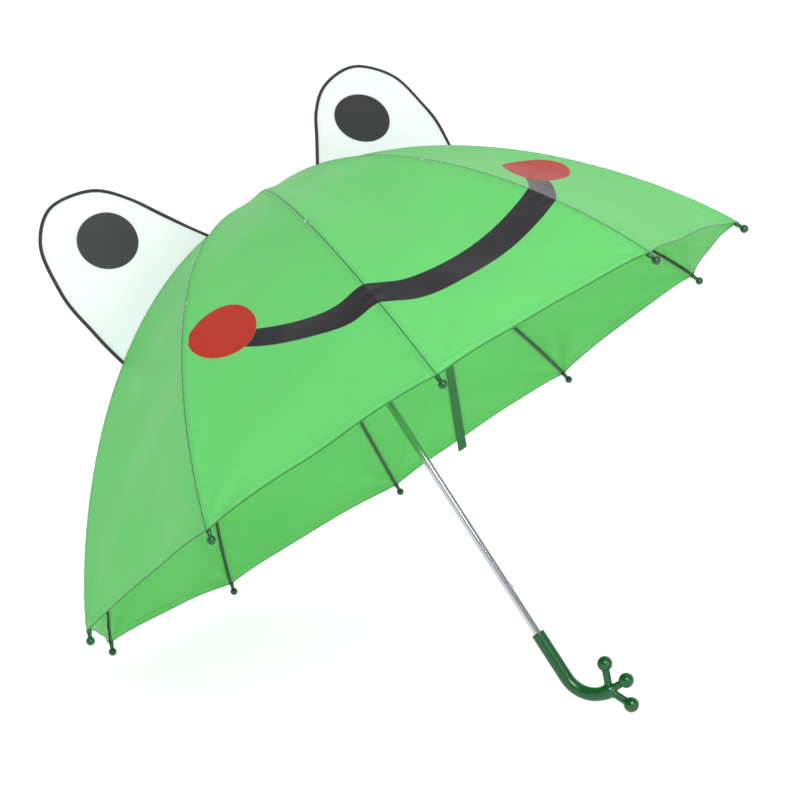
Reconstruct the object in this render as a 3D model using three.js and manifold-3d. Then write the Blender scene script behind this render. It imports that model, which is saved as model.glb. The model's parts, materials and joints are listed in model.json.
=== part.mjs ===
// A child's umbrella with a frog face, open and lying on the ground: it rests on two rib tips and on
// the toe of its handle. Millimetres, +Z up, +X from the canopy towards the handle along the ground,
// and the origin on the ground under the middle of the whole.
//
// The umbrella is built upright first: its shaft is the Z axis, the crown is at the top, and Z = 0 is
// the level of the rib tips. Every rib lies in a sector group that is turned about the shaft, with X
// outwards and Y along the rim. A group called pivot_... marks each hinge line, which is its Y axis,
// and a group called slide_... marks each sliding direction, which is its X axis.

import * as THREE from 'three';
import { mergeVertices } from 'three/addons/utils/BufferGeometryUtils.js';
import Module from 'manifold-3d';

const wasm = await Module();
wasm.setup();

// ---- driving dimensions -------------------------------------------------------------------------

const RIBS = 10;
const RIB_PITCH = (2 * Math.PI) / RIBS;
const FIRST_RIB_AZIMUTH = THREE.MathUtils.degToRad(-126); // the rib with the left eye

const RIM_RADIUS = 355; // shaft to the centre of a rib's ball tip
const DOME_HEIGHT = 272; // rib tips to crown
const DOME_POWER = 0.88; // fullness of the dome: 1 is a parabola
const RIB_RADIUS = 1.2;
const RIB_BEND_AT = 213; // where the stretcher meets the rib, from the shaft
const RIB_HALF_GAP = 0.7; // room at each side of the bend
const TIP_RADIUS = 3.8;
const TIP_COLLAR_RADIUS = 2.2;
const TIP_COLLAR_LENGTH = 9;

const SHAFT_RADIUS = 3.5;
const SHAFT_WALL = 0.7;
const SHAFT_BOTTOM = -245.5;
const STOP_RADIUS = 5;
const STOP_HEIGHT = 2;
const FIT_GAP = 0.3; // running clearance, and the gap between pieces that touch

const PIVOT_RADIUS = 9; // shaft to the inner ends of ribs and stretchers
const HUB_CORE_RADIUS = 6.9;
const HUB_RADIUS = 11.2;
const CROWN_DROP = 4;
const CROWN_RISE = 2.2;
const RIB_SLOT = 3;

const STRETCHER_LENGTH = 209;
const STRETCHER_RADIUS = 1;
const STRETCHER_OFFSET = -3; // beside its rib
const STRETCHER_SLOT = 2.6;
const RUNNER_RING_HEIGHT = 7;
const RUNNER_SLEEVE_RADIUS = 6.9;
const RUNNER_SLEEVE_LENGTH = 32.5;
const RUNNER_FLANGE_RADIUS = 8.5;
const RUNNER_FLANGE_HEIGHT = 3;
const RUNNER_TRAVEL = 297; // open to closed

const CATCH_REACH = 5.2;
const CATCH_ROOT = 0.6;
const CATCH_HEIGHT = 8;
const CATCH_NOSE = 2;
const CATCH_WIDTH = 1.6;
const CATCH_SLOT_WIDTH = 2.4;
const CATCH_SLOT_END = 0.5;
const CATCH_GROOVE_RADIUS = 5.8;

const CLOTH_LIFT = 1.7; // rib centre line to the underside of the cloth
const CLOTH_THICKNESS = 0.8;
const CLOTH_INNER_RADIUS = 12.5;
const CLOTH_HEM_AT = 349; // where the hem meets a rib, from the shaft
const CLOTH_SEAM_GAP = 0.4;
const HEM_RISE = 10; // how far the hem curves up between two tips
const CAP_RADIUS = 17;
const CAP_RISE = 4;
const CAP_EDGE = 1.4;

const GRIP_TOP = -200;
const GRIP_RADIUS = 6.3;
const GRIP_BEND_START = -248.5;
const GRIP_BEND_RADIUS = 30;
const TOE_RADIUS = 7;
const TOE_STEM_RADIUS = 3.6;
const PALM_RADIUS = 7.2;
const TOES = [
  { angle: 64, length: 25 },
  { angle: 0, length: 20 },
  { angle: -62, length: 23.5 },
];

const EYE_INNER = 62; // where the eye's base starts and ends on its rib, from the shaft
const EYE_OUTER = 196;
const EYE_HEIGHT = 131; // above the base chord
const EYE_THICKNESS = 1.2;
const EYE_LIFT = 0.5;
const EYES = [
  { name: 'eye_left', rib: 1, lean: 0, back: -1 },
  { name: 'eye_right', rib: 6, lean: 10, back: 1 },
];

const STRAP_RIB = 7;
const STRAP_SHARES = [0.42, 0.62]; // where its two ends lie between this rib and the next
const STRAP_WIDTH = 10;
const STRAP_FROM = 285; // its ends, from the shaft along the cloth
const STRAP_TO = 352;
const STRAP_LIFTS = [0, -1];

const COLOURS = {
  steel: { color: 0xc9ccd0, roughness: 0.25, metalness: 1 },
  rod: { color: 0x2b2d2c, roughness: 0.4, metalness: 0.7 },
  plastic: { color: 0x0e6b33, roughness: 0.35, metalness: 0 },
  hub: { color: 0xe9ebe6, roughness: 0.45, metalness: 0 },
  cloth: { color: 0x49b34b, roughness: 0.7, metalness: 0 },
  white: { color: 0xf2f3f0, roughness: 0.7, metalness: 0 },
  strap: { color: 0x2f8c3a, roughness: 0.7, metalness: 0 },
};

// ---- the umbrella's own curves -------------------------------------------------------------------

// Height of a rib's centre line above the tips, at a distance from the shaft.
const domeHeight = (radius) => DOME_HEIGHT * (1 - (radius / RIM_RADIUS) ** 2) ** DOME_POWER;

// The rib's point at a distance from the shaft, moved off the rib along its outward normal.
function domePoint(radius, lift = 0) {
  const step = 0.5;
  const inner = domeHeight(Math.max(radius - step, 0));
  const outer = domeHeight(Math.min(radius + step, RIM_RADIUS - 0.01));
  const normal = new THREE.Vector2(inner - outer, 2 * step).normalize();
  return new THREE.Vector3(radius + lift * normal.x, 0, domeHeight(radius) + lift * normal.y);
}

const crownHeight = domeHeight(PIVOT_RADIUS);
const bend = domePoint(RIB_BEND_AT);
const stretcherReach = RIB_BEND_AT - PIVOT_RADIUS;
const runnerHeight = bend.z - Math.sqrt(STRETCHER_LENGTH ** 2 - stretcherReach ** 2);
const runnerBottom = runnerHeight - RUNNER_RING_HEIGHT / 2 - RUNNER_SLEEVE_LENGTH;

// ---- solids --------------------------------------------------------------------------------------

const ringSides = 32;

function material(kind) {
  return new THREE.MeshStandardMaterial(COLOURS[kind]);
}

function merged(geometry) {
  geometry.deleteAttribute('normal');
  geometry.deleteAttribute('uv');
  return mergeVertices(geometry, 1e-4);
}

function toSolid(geometry) {
  const clean = merged(geometry);
  const vertProperties = new Float32Array(clean.attributes.position.array);
  const triVerts = new Uint32Array(clean.index.array);
  return new wasm.Manifold(new wasm.Mesh({ numProp: 3, vertProperties, triVerts }));
}

function fromSolid(solid) {
  const { vertProperties, triVerts } = solid.getMesh();
  const geometry = new THREE.BufferGeometry();
  geometry.setAttribute('position', new THREE.BufferAttribute(vertProperties, 3));
  geometry.setIndex(new THREE.BufferAttribute(triVerts, 1));
  return geometry;
}

// A turned solid about Z, from [radius, height] pairs that run upwards on the outside.
function turned(profile, sides = ringSides) {
  const points = profile.map(([radius, height]) => new THREE.Vector2(radius, height));
  return toSolid(new THREE.LatheGeometry(points, sides).rotateX(Math.PI / 2));
}

function cylinder(radius, bottom, top, sides = ringSides) {
  return turned([[0, bottom], [radius, bottom], [radius, top], [0, top]], sides);
}

function block(width, depth, height, x, y, z) {
  return toSolid(new THREE.BoxGeometry(width, depth, height).translate(x, y, z));
}

function ball(radius, centre, sides = 16) {
  const geometry = new THREE.SphereGeometry(radius, sides, Math.round(sides / 2) + 1);
  return toSolid(geometry.translate(centre.x, centre.y, centre.z));
}

// A round rod through a list of points.
function rodGeometry(points, radius, steps, sides = 8) {
  const section = new THREE.Shape();
  for (let side = 0; side < sides; side += 1) {
    const turn = (2 * Math.PI * side) / sides;
    const corner = [radius * Math.cos(turn), radius * Math.sin(turn)];
    if (side === 0) section.moveTo(...corner);
    else section.lineTo(...corner);
  }
  section.closePath();
  const extrudePath = points.length === 2
    ? new THREE.LineCurve3(...points)
    : new THREE.CatmullRomCurve3(points, false, 'centripetal');
  return merged(new THREE.ExtrudeGeometry(section, { steps, extrudePath, bevelEnabled: false }));
}

// A thin closed sheet between two surfaces, each a function of (u, v) from 0 to 1.
function sheetGeometry(outside, inside, across, along) {
  const positions = [];
  const index = [];
  const at = (layer, i, j) => layer * (across + 1) * (along + 1) + j * (across + 1) + i;
  for (const surface of [outside, inside]) {
    for (let j = 0; j <= along; j += 1) {
      for (let i = 0; i <= across; i += 1) positions.push(...surface(i / across, j / along).toArray());
    }
  }
  const quad = (a, b, c, d) => index.push(a, b, c, a, c, d);
  for (let j = 0; j < along; j += 1) {
    for (let i = 0; i < across; i += 1) {
      quad(at(0, i, j), at(0, i, j + 1), at(0, i + 1, j + 1), at(0, i + 1, j));
      quad(at(1, i, j), at(1, i + 1, j), at(1, i + 1, j + 1), at(1, i, j + 1));
    }
    quad(at(0, 0, j), at(1, 0, j), at(1, 0, j + 1), at(0, 0, j + 1));
    quad(at(0, across, j), at(0, across, j + 1), at(1, across, j + 1), at(1, across, j));
  }
  for (let i = 0; i < across; i += 1) {
    quad(at(0, i, 0), at(0, i + 1, 0), at(1, i + 1, 0), at(1, i, 0));
    quad(at(0, i, along), at(1, i, along), at(1, i + 1, along), at(0, i + 1, along));
  }
  const geometry = new THREE.BufferGeometry();
  geometry.setAttribute('position', new THREE.Float32BufferAttribute(positions, 3));
  geometry.setIndex(index);
  return geometry;
}

function mesh(name, geometry, kind) {
  geometry.computeVertexNormals();
  const piece = new THREE.Mesh(geometry, material(kind));
  piece.name = name;
  return piece;
}

function group(name, ...children) {
  const made = new THREE.Group();
  made.name = name;
  if (children.length) made.add(...children);
  return made;
}

// ---- shaft, crown, runner, catches ----------------------------------------------------------------

const topCatchTop = runnerBottom - FIT_GAP;
const runnerClosedTop = runnerHeight - RUNNER_TRAVEL + RUNNER_RING_HEIGHT / 2;
const bottomCatchBottom = runnerClosedTop + FIT_GAP;

function shaft() {
  const inner = SHAFT_RADIUS - SHAFT_WALL;
  const top = crownHeight + CROWN_RISE;
  const stopBottom = runnerHeight + RUNNER_RING_HEIGHT / 2 + FIT_GAP;
  let tube = turned([
    [inner, SHAFT_BOTTOM], [SHAFT_RADIUS, SHAFT_BOTTOM],
    [SHAFT_RADIUS, stopBottom], [STOP_RADIUS, stopBottom],
    [STOP_RADIUS, stopBottom + STOP_HEIGHT], [SHAFT_RADIUS, stopBottom + STOP_HEIGHT],
    [SHAFT_RADIUS, top], [inner, top], [inner, SHAFT_BOTTOM],
  ]);
  const slotHeight = CATCH_HEIGHT + 2 * CATCH_SLOT_END;
  for (const middle of [topCatchTop - CATCH_HEIGHT / 2, bottomCatchBottom + CATCH_HEIGHT / 2]) {
    const slot = block(SHAFT_RADIUS, CATCH_SLOT_WIDTH, slotHeight, SHAFT_RADIUS, 0, middle);
    tube = tube.subtract(slot);
  }
  return mesh('shaft_tube', fromSolid(tube), 'steel');
}

// Cuts the radial slots that the inner ends of ribs or stretchers stand in.
function slotted(hub, slotWidth, sideways, middle, height) {
  let cut = hub;
  for (let rib = 0; rib < RIBS; rib += 1) {
    const length = HUB_RADIUS - HUB_CORE_RADIUS + 2;
    const geometry = new THREE.BoxGeometry(length, slotWidth, height + 1);
    geometry.translate(HUB_CORE_RADIUS + length / 2, sideways, middle);
    geometry.rotateZ(FIRST_RIB_AZIMUTH + rib * RIB_PITCH);
    cut = cut.subtract(toSolid(geometry));
  }
  return cut;
}

function crown() {
  const bore = SHAFT_RADIUS + FIT_GAP;
  const [bottom, top] = [crownHeight - CROWN_DROP, crownHeight + CROWN_RISE];
  const disc = turned([[bore, bottom], [HUB_RADIUS, bottom], [HUB_RADIUS, top], [bore, top], [bore, bottom]]);
  return mesh('crown', fromSolid(slotted(disc, RIB_SLOT, 0, (bottom + top) / 2, top - bottom)), 'hub');
}

function topCap() {
  const bottom = domePoint(CLOTH_INNER_RADIUS, CLOTH_LIFT + CLOTH_THICKNESS).z + FIT_GAP;
  const cap = turned([
    [0, bottom], [CAP_RADIUS, bottom], [CAP_RADIUS, bottom + CAP_EDGE],
    [CAP_RADIUS * 0.8, bottom + CAP_EDGE + (CAP_RISE - CAP_EDGE) * 0.55],
    [CAP_RADIUS * 0.45, bottom + CAP_RISE * 0.93], [0, bottom + CAP_RISE],
  ]);
  return mesh('top_cap', fromSolid(cap), 'plastic');
}

function runner() {
  const bore = SHAFT_RADIUS + FIT_GAP;
  const ringBottom = runnerHeight - RUNNER_RING_HEIGHT / 2;
  const ringTop = runnerHeight + RUNNER_RING_HEIGHT / 2;
  const flangeTop = runnerBottom + RUNNER_FLANGE_HEIGHT;
  const sleeve = turned([
    [bore, runnerBottom], [RUNNER_FLANGE_RADIUS, runnerBottom], [RUNNER_FLANGE_RADIUS, flangeTop],
    [RUNNER_SLEEVE_RADIUS, flangeTop + 1], [RUNNER_SLEEVE_RADIUS, ringBottom],
    [HUB_RADIUS, ringBottom], [HUB_RADIUS, ringTop], [bore, ringTop], [bore, runnerBottom],
  ]);
  const length = ringTop - runnerBottom;
  const middle = (ringTop + runnerBottom) / 2;
  const groove = block(CATCH_GROOVE_RADIUS, CATCH_SLOT_WIDTH, length + 1, CATCH_GROOVE_RADIUS / 2, 0, middle);
  const grooved = sleeve.subtract(groove);
  const hub = slotted(grooved, STRETCHER_SLOT, STRETCHER_OFFSET, runnerHeight, RUNNER_RING_HEIGHT);
  return group('slide_runner', mesh('runner', fromSolid(hub), 'hub'));
}

// A spring catch: a thin wedge that stands out of its slot. Its square end holds the runner, and its
// sloped end lets the runner press it in. facing is 1 where the square end is at the top.
function catchWedge(name, squareEnd, facing) {
  const shape = new THREE.Shape();
  const far = squareEnd - facing * CATCH_HEIGHT;
  shape.moveTo(CATCH_ROOT, squareEnd);
  shape.lineTo(CATCH_REACH, squareEnd);
  shape.lineTo(CATCH_REACH, squareEnd - facing * CATCH_NOSE);
  shape.lineTo(SHAFT_RADIUS, far);
  shape.lineTo(CATCH_ROOT, far);
  shape.closePath();
  const geometry = new THREE.ExtrudeGeometry(shape, { depth: CATCH_WIDTH, bevelEnabled: false, steps: 1 });
  geometry.rotateX(Math.PI / 2).translate(0, CATCH_WIDTH / 2, 0);
  return group(`slide_${name}`, mesh(name, merged(geometry), 'steel'));
}

// ---- handle ---------------------------------------------------------------------------------------

function handle() {
  const points = [];
  const straightSteps = 4;
  for (let i = 0; i < straightSteps; i += 1) {
    const height = THREE.MathUtils.lerp(GRIP_TOP, GRIP_BEND_START, i / straightSteps);
    points.push(new THREE.Vector3(0, 0, height));
  }
  const bendSteps = 6;
  for (let i = 0; i <= bendSteps; i += 1) {
    const turn = (Math.PI / 2) * (i / bendSteps);
    const x = GRIP_BEND_RADIUS * (1 - Math.cos(turn));
    points.push(new THREE.Vector3(x, 0, GRIP_BEND_START - GRIP_BEND_RADIUS * Math.sin(turn)));
  }
  const palm = points[points.length - 1];
  let body = toSolid(rodGeometry(points, GRIP_RADIUS, 22, 14)).add(ball(PALM_RADIUS, palm, 14));
  for (const toe of TOES) {
    const turn = THREE.MathUtils.degToRad(toe.angle);
    const away = new THREE.Vector3(Math.cos(turn), 0, Math.sin(turn)).multiplyScalar(toe.length);
    const tip = palm.clone().add(away);
    body = body.add(toSolid(rodGeometry([palm, tip], TOE_STEM_RADIUS, 1, 10))).add(ball(TOE_RADIUS, tip, 14));
  }
  const socket = cylinder(SHAFT_RADIUS + FIT_GAP, SHAFT_BOTTOM - FIT_GAP, GRIP_TOP + 1, 20);
  return mesh('handle', fromSolid(body.subtract(socket)), 'plastic');
}

// ---- ribs, stretchers, cloth ------------------------------------------------------------------------

function ribPoints(from, to, count) {
  const points = [];
  for (let i = 0; i <= count; i += 1) points.push(domePoint(THREE.MathUtils.lerp(from, to, i / count)));
  return points;
}

function innerRib(name) {
  const points = ribPoints(PIVOT_RADIUS - 1, RIB_BEND_AT - RIB_HALF_GAP, 6);
  return mesh(name, rodGeometry(points, RIB_RADIUS, 6), 'rod');
}

// The outer half of a rib ends in a collar and a ball, which keep its end blunt.
function outerRib(name) {
  const points = ribPoints(RIB_BEND_AT + RIB_HALF_GAP, CLOTH_HEM_AT, 5);
  const tip = new THREE.Vector3(RIM_RADIUS, 0, 0);
  const back = points[points.length - 2].clone().sub(tip).setLength(TIP_COLLAR_LENGTH).add(tip);
  const collar = toSolid(rodGeometry([back, tip], TIP_COLLAR_RADIUS, 1));
  const rod = toSolid(rodGeometry([...points.slice(0, -1), tip], RIB_RADIUS, 6));
  return mesh(name, fromSolid(rod.add(collar).add(ball(TIP_RADIUS, tip, 12))), 'rod');
}

function stretcher(name) {
  const inner = new THREE.Vector3(PIVOT_RADIUS - 1, STRETCHER_OFFSET, runnerHeight);
  const outer = new THREE.Vector3(RIB_BEND_AT, STRETCHER_OFFSET, bend.z);
  return mesh(name, rodGeometry([inner, outer], STRETCHER_RADIUS, 1), 'steel');
}

// A point between this rib and the next, at a share of the way across. The cloth is straight there.
function gorePoint(share, radius, lift) {
  const point = domePoint(radius, lift);
  const first = new THREE.Vector3(point.x, CLOTH_SEAM_GAP, point.z);
  const second = new THREE.Vector3(point.x, -CLOTH_SEAM_GAP, point.z);
  return first.lerp(second.applyAxisAngle(new THREE.Vector3(0, 0, 1), RIB_PITCH), share);
}

// The cloth between this rib and the next, from one distance along the ribs to another. Its hem curves
// up between the tips.
function gore(name, from, to, steps, hemRise) {
  const surface = (lift) => (u, v) => {
    const rise = 4 * u * (1 - u) * hemRise * v ** 2;
    return gorePoint(u, THREE.MathUtils.lerp(from, to, v) - rise, lift);
  };
  const outside = surface(CLOTH_LIFT + CLOTH_THICKNESS);
  return mesh(name, sheetGeometry(outside, surface(CLOTH_LIFT), 4, steps), 'cloth');
}

// Moves pieces made about the shaft so that they hang from a hinge line at a point of the sector.
function hinged(name, point, ...pieces) {
  const pivot = group(name);
  pivot.position.copy(point);
  for (const piece of pieces) {
    piece.position.sub(point);
    pivot.add(piece);
  }
  return pivot;
}

// ---- eyes and strap -----------------------------------------------------------------------------------

// A flat wing on its rib: a full round lobe, steeper on the side of the crown.
function eye({ name, lean, back }) {
  const lift = CLOTH_LIFT + CLOTH_THICKNESS + EYE_LIFT;
  const base = [];
  const baseSteps = 8;
  for (let i = 0; i <= baseSteps; i += 1) {
    const point = domePoint(THREE.MathUtils.lerp(EYE_OUTER, EYE_INNER, i / baseSteps), lift);
    base.push(new THREE.Vector2(point.x, point.z));
  }
  const outer = base[0];
  const inner = base[baseSteps];
  const along = outer.clone().sub(inner);
  const up = new THREE.Vector2(-along.y, along.x).normalize();
  const place = (share, height) => inner.clone().addScaledVector(along, share).addScaledVector(up, height);
  const shape = new THREE.Shape([...base]);
  const lobe = [
    [0.048, 0.33], [0.083, 0.6], [0.19, 0.85], [0.42, 1], [0.65, 0.91], [0.84, 0.61], [0.95, 0.25],
  ].map(([share, rise]) => place(share, rise * EYE_HEIGHT));
  shape.splineThru([...lobe, outer]);
  const geometry = new THREE.ExtrudeGeometry(shape, {
    depth: EYE_THICKNESS, bevelEnabled: false, steps: 1, curveSegments: 20,
  });
  geometry.rotateX(Math.PI / 2).translate(0, EYE_THICKNESS / 2, 0);
  const middle = base[baseSteps / 2];
  const hinge = new THREE.Vector3(middle.x, 0, middle.y);
  const slope = Math.atan2(-along.y, along.x);
  // The hinge group's X axis runs along the base chord, and the wing turns about it.
  geometry.translate(-hinge.x, 0, -hinge.z).rotateY(-slope);
  const wing = mesh(name, merged(geometry), 'white');
  const turnedWing = group(`lean_${name}`, wing);
  turnedWing.rotation.x = -back * THREE.MathUtils.degToRad(lean);
  const line = group(`line_${name}`, turnedWing);
  line.position.copy(hinge);
  line.rotation.y = slope;
  return line;
}

// The tie strap lies inside the cloth, hangs straight down and shows its free end under the hem.
function strap() {
  const halfShare = STRAP_WIDTH / 2 / (2 * CLOTH_HEM_AT * Math.sin(RIB_PITCH / 2));
  const surface = (lift) => (u, v) => {
    const middle = THREE.MathUtils.lerp(...STRAP_SHARES, v);
    const share = middle + THREE.MathUtils.lerp(-halfShare, halfShare, u);
    return gorePoint(share, THREE.MathUtils.lerp(STRAP_FROM, STRAP_TO, v), lift);
  };
  return mesh('tie_strap', sheetGeometry(...STRAP_LIFTS.map(surface), 1, 5), 'strap');
}

// ---- assembly ---------------------------------------------------------------------------------------

const pad = (number) => String(number).padStart(2, '0');

function sector(number) {
  const id = pad(number);
  const hingePoint = domePoint(PIVOT_RADIUS);
  const outerPieces = [
    outerRib(`rib_outer_${id}`),
    gore(`gore_lower_${id}`, RIB_BEND_AT + 0.5, CLOTH_HEM_AT, 4, HEM_RISE),
  ];
  if (number === STRAP_RIB) outerPieces.push(strap());
  const outer = hinged(`pivot_rib_outer_${id}`, bend, ...outerPieces);
  const innerPieces = [
    innerRib(`rib_inner_${id}`),
    gore(`gore_upper_${id}`, CLOTH_INNER_RADIUS, RIB_BEND_AT - 0.5, 5, 0),
    ...EYES.filter((one) => one.rib === number).map(eye),
    outer,
  ];
  const inner = hinged(`pivot_rib_inner_${id}`, hingePoint, ...innerPieces);
  const runnerPoint = new THREE.Vector3(PIVOT_RADIUS, 0, runnerHeight);
  const strut = hinged(`pivot_stretcher_${id}`, runnerPoint, stretcher(`stretcher_${id}`));
  const whole = group(`sector_${id}`, inner, strut);
  whole.rotation.z = FIRST_RIB_AZIMUTH + (number - 1) * RIB_PITCH;
  return whole;
}

const upright = group('upright', shaft(), crown(), topCap(), handle(), runner());
upright.add(catchWedge('top_catch', topCatchTop, 1), catchWedge('bottom_catch', bottomCatchBottom, -1));
for (let number = 1; number <= RIBS; number += 1) upright.add(sector(number));

// The umbrella leans over until the two lowest tips and the lowest toe touch the ground.
function restingLean() {
  const tips = new THREE.Vector2(-RIM_RADIUS * Math.cos(RIB_PITCH / 2), 0);
  const toe = TOES[TOES.length - 1];
  const turn = THREE.MathUtils.degToRad(toe.angle);
  const toePoint = new THREE.Vector2(
    GRIP_BEND_RADIUS + toe.length * Math.cos(turn),
    GRIP_BEND_START - GRIP_BEND_RADIUS + toe.length * Math.sin(turn),
  );
  const line = toePoint.clone().sub(tips);
  return Math.atan2(-line.y, line.x) - Math.asin((TOE_RADIUS - TIP_RADIUS) / line.length());
}

upright.rotation.y = -restingLean();
const umbrella = group('umbrella', upright);
umbrella.updateMatrixWorld(true);
const box = new THREE.Box3().setFromObject(umbrella, true);
const centre = box.getCenter(new THREE.Vector3());
umbrella.position.set(-centre.x, -centre.y, -box.min.z);
umbrella.updateMatrixWorld(true);

export default umbrella;
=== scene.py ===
"""A child's umbrella with a frog face, open and lying on its rib tips and on the toe of its handle.

Everything is built in the umbrella's own coordinates, in millimetres: Z runs up the shaft from the level
of the rib tips, X points the way the handle bends, and every rib has its own sector round the shaft. The
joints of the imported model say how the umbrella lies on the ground.
"""

import json
import math

import bmesh
import bpy
import numpy as np
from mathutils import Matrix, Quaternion, Vector

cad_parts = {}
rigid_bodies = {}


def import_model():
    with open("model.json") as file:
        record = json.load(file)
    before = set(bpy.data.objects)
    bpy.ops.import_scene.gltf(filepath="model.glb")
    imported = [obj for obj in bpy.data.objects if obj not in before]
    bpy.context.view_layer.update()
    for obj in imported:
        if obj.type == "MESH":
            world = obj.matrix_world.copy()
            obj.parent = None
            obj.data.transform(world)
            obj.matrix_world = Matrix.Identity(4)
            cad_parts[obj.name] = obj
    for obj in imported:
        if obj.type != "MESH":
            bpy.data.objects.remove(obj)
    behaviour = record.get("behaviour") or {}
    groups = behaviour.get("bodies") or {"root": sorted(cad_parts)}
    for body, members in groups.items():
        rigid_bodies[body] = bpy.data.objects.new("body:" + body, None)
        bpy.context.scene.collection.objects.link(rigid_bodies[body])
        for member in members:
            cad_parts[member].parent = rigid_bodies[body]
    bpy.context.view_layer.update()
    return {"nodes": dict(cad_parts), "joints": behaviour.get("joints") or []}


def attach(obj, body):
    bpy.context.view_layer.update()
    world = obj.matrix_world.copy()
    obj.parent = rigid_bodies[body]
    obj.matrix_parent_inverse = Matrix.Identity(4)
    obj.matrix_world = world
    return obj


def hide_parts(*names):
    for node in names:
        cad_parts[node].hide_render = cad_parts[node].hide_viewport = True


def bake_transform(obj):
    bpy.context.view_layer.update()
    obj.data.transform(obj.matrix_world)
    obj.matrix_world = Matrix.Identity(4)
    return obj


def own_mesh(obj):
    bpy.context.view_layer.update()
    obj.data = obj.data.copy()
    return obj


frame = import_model()

# ---- sizes, in millimetres and degrees -------------------------------------------------------------

RIBS = 10
PITCH = 360 / RIBS
FIRST_RIB_AZIMUTH = -126
FACE_AZIMUTH = -40.5  # the middle of the smile

RIM_RADIUS = 355
DOME_HEIGHT = 272
DOME_POWER = 0.88
HINGE_RADIUS = 9
BEND_RADIUS = 213
RIB_RADIUS = 1.45
TIP_RADIUS = 3.8
COLLAR_RADIUS = 2.2
COLLAR_LENGTH = 9

CLOTH_LIFT = 1.7
CLOTH_THICKNESS = 0.4
CLOTH_INNER_RADIUS = 12.5
HEM_RADIUS = 352
HEM_CUT = 1.8  # how much further in the hem is half way between two ribs
HEM_FOLD = 6
HEM_THICKNESS = 0.9
SAG = 4.5
SLACK = 0.6
WAVE_HEIGHT = 0.9
GATHER_HEIGHT = 0.42
GATHER_LENGTH = 12
GATHER_REACH = 4
TIP_FOLD_HEIGHT = 1.6
TIP_FOLD_REACH = 55
THREAD_PITCH = 0.9
STITCH_PITCH = 3.2
STITCH_OFFSET = 3.2
SEAM_ALLOWANCE = 4.2

EYE_INNER = 62
EYE_OUTER = 196
EYE_HEIGHT = 131
EYE_THICKNESS = 1.0
EYE_BULGE = 3.2
PIPING_RADIUS = 1.7
EYE_OUTLINE = (
    (0, 0),
    (0.048, 0.33),
    (0.083, 0.6),
    (0.19, 0.85),
    (0.42, 1),
    (0.65, 0.91),
    (0.84, 0.61),
    (0.95, 0.25),
    (1, 0),
)
EYES = {
    "eye_left": {"rib": 1, "lean": 0, "back": -1},
    "eye_right": {"rib": 6, "lean": 10, "back": 1},
}

SHAFT_RADIUS = 3.5
SHAFT_WALL = 0.7
SHAFT_BOTTOM = -245.5

STRETCHER_LENGTH = 209
STRETCHER_OFFSET = -3  # how far beside the rib it lies
STRETCHER_END_RADIUS = 2.2
PIN_INSET = 3  # from the rib's bend in to the stretcher's pin
PIN_DROP = 1.6

GRIP_TOP = -200
GRIP_RADIUS = 6.3
HOOK_START = -248.5
HOOK_RADIUS = 30
PALM_RADIUS = 7.2
TOE_RADIUS = 7
TOE_STEM_RADIUS = 3.6
TOES = ((64, 25), (0, 20), (-62, 23.5))

CAP_RADIUS = 17
CAP_RISE = 4

NEAR_AXIS = 0.02  # where a turned profile ends when it closes on its axis

STRAP_RIB = 7
STRAP_SHARES = (0.3, 0.62)  # where between the two ribs it starts and ends
STRAP_WIDTH = 10.5
STRAP_FROM = 285
STRAP_TO = 355
STRAP_DROP = 2.1  # how much it falls for each step outwards, past the hem

# ---- where the umbrella stands ---------------------------------------------------------------------

JOINTS = {joint["name"]: joint for joint in frame["joints"]}
MM = 0.001


def joint_axis(name):
    """The direction of a joint's axis in the row frame."""
    axis = np.array(JOINTS[name]["axis"], float)
    return axis / np.linalg.norm(axis)


def joint_point(name):
    return np.array(JOINTS[name]["pos_m"], float)


def pad(number):
    return f"{number:02d}"


def dome_height(radius):
    share = np.clip(1 - (np.asarray(radius, float) / RIM_RADIUS) ** 2, 0, 1)
    return DOME_HEIGHT * share**DOME_POWER


UP = -joint_axis("runner_slide")
OUT = -joint_axis("top_catch_press")
ALONG = np.cross(UP, OUT)
CROWN = np.mean([joint_point(f"rib_hinge_{pad(k)}") for k in range(1, RIBS + 1)], axis=0)
RIM_CENTRE = CROWN - UP * dome_height(HINGE_RADIUS) * MM
AXES = np.array([OUT, ALONG, UP])


def to_row(points):
    """Points of the umbrella in millimetres, as points of the row frame in metres."""
    return RIM_CENTRE + np.asarray(points, float) @ AXES * MM


def azimuth_of(rib):
    return math.radians(FIRST_RIB_AZIMUTH + (rib - 1) * PITCH)


def turned(points, azimuth):
    """Points of a sector, with X outwards, turned about the shaft."""
    points = np.asarray(points, float)
    c, s = math.cos(azimuth), math.sin(azimuth)
    x, y, z = points[..., 0], points[..., 1], points[..., 2]
    return np.stack([x * c - y * s, x * s + y * c, z], axis=-1)


def dome_slope(radius):
    """How steeply a rib falls, held back at the rim where the formula is upright."""
    slope = dome_height(np.clip(radius - 0.5, 0, None)) - dome_height(radius + 0.5)
    return np.minimum(slope, 6)


def rib_point(radius, lift=0.0):
    """(X, Z) of a rib at a distance from the shaft, moved off it along its outward normal."""
    radius = np.asarray(radius, float)
    slope = dome_slope(radius)
    size = np.hypot(slope, 1)
    return radius + lift * slope / size, dome_height(radius) + lift / size


# ---- meshes ----------------------------------------------------------------------------------------


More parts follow.
